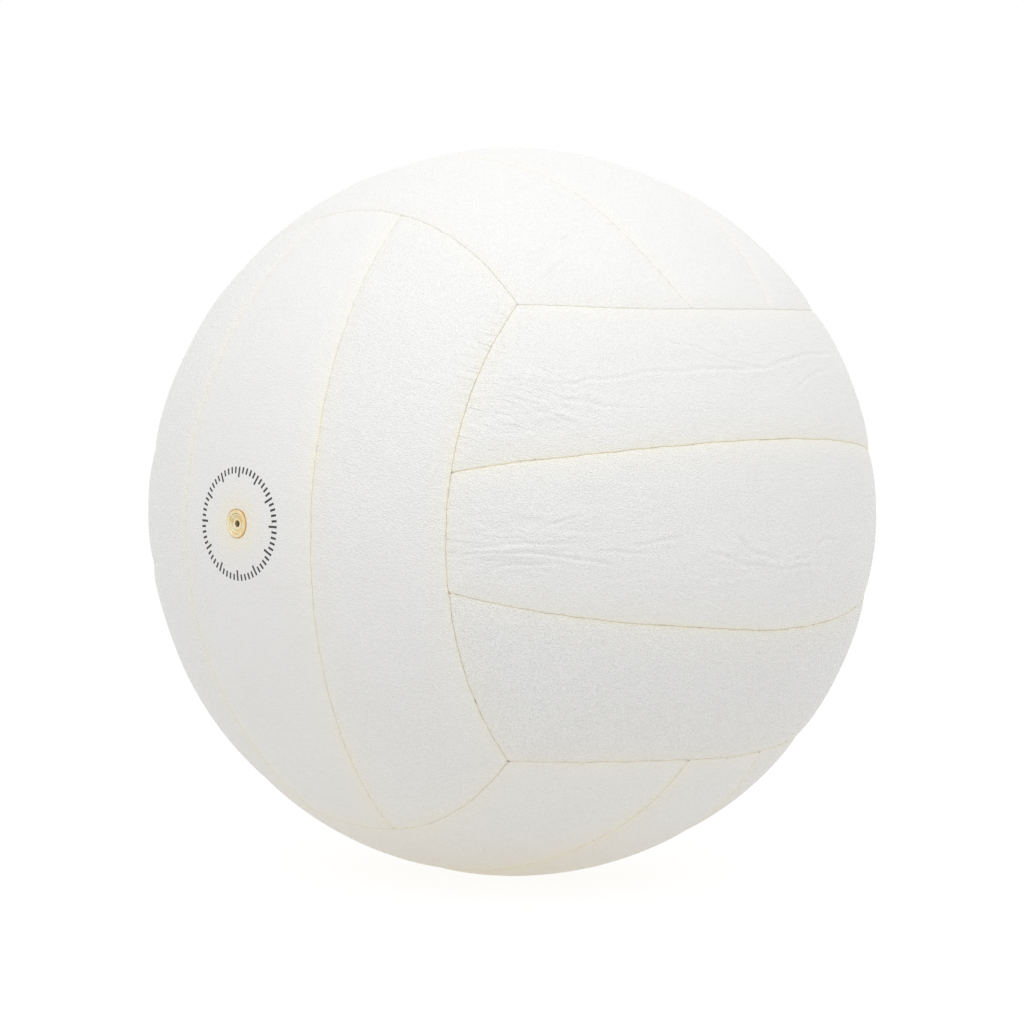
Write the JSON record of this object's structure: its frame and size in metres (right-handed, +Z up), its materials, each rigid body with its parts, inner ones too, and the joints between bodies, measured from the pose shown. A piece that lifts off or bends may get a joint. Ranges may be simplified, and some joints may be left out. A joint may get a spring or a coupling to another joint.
{
  "type": "volleyball",
  "caption": "White stitched volleyball of synthetic-leather strips in interlocked groups over foam, cloth and a rubber bladder, with a self-sealing valve.",
  "frame": {"origin": "centre of the ball", "axes": "-Y out of the valve, +Z up through the middle of the top panel group, +X through the right panel group"},
  "size_m": [0.21, 0.2099, 0.21],
  "materials": {
    "cover_leather": "fine-grained satin synthetic leather",
    "foam_backing": "matt closed-cell foam",
    "cloth_lining": "plain woven cloth",
    "seam_thread": "waxed twisted thread",
    "bladder_rubber": "matt black rubber",
    "valve_rubber": "translucent amber rubber"
  },
  "bodies": {
    "ball": {"bladder": "bladder_rubber", "foam_back_left": "foam_backing", "foam_back_middle": "foam_backing", "foam_back_right": "foam_backing", "foam_bottom_back": "foam_backing", "foam_bottom_front": "foam_backing", "foam_bottom_middle": "foam_backing", "foam_front_left": "foam_backing", "foam_front_middle": "foam_backing", "foam_front_right": "foam_backing", "foam_left_lower": "foam_backing", "foam_left_middle": "foam_backing", "foam_left_upper": "foam_backing", "foam_right_lower": "foam_backing", "foam_right_middle": "foam_backing", "foam_right_upper": "foam_backing", "foam_top_back": "foam_backing", "foam_top_front": "foam_backing", "foam_top_middle": "foam_backing", "group_seam_thread": "seam_thread", "lining_back_left": "cloth_lining", "lining_back_middle": "cloth_lining", "lining_back_right": "cloth_lining", "lining_bottom_back": "cloth_lining", "lining_bottom_front": "cloth_lining", "lining_bottom_middle": "cloth_lining", "lining_front_left": "cloth_lining", "lining_front_middle": "cloth_lining", "lining_front_right": "cloth_lining", "lining_left_lower": "cloth_lining", "lining_left_middle": "cloth_lining", "lining_left_upper": "cloth_lining", "lining_right_lower": "cloth_lining", "lining_right_middle": "cloth_lining", "lining_right_upper": "cloth_lining", "lining_top_back": "cloth_lining", "lining_top_front": "cloth_lining", "lining_top_middle": "cloth_lining", "panel_back_left": "cover_leather", "panel_back_middle": "cover_leather", "panel_back_right": "cover_leather", "panel_bottom_back": "cover_leather", "panel_bottom_front": "cover_leather", "panel_bottom_middle": "cover_leather", "panel_front_left": "cover_leather", "panel_front_middle": "cover_leather", "panel_front_right": "cover_leather", "panel_left_lower": "cover_leather", "panel_left_middle": "cover_leather", "panel_left_upper": "cover_leather", "panel_right_lower": "cover_leather", "panel_right_middle": "cover_leather", "panel_right_upper": "cover_leather", "panel_top_back": "cover_leather", "panel_top_front": "cover_leather", "panel_top_middle": "cover_leather", "strip_seam_thread": "seam_thread", "valve_patch": "cloth_lining", "valve_seat": "valve_rubber"},
    "valve_core": {"valve_core": "valve_rubber"}
  },
  "joints": [
    {"name": "valve_core_pull", "type": "slide", "parent": "ball", "child": "valve_core", "axis": [0, -1, 0], "range_m": [0, 0.018]}
  ]
}
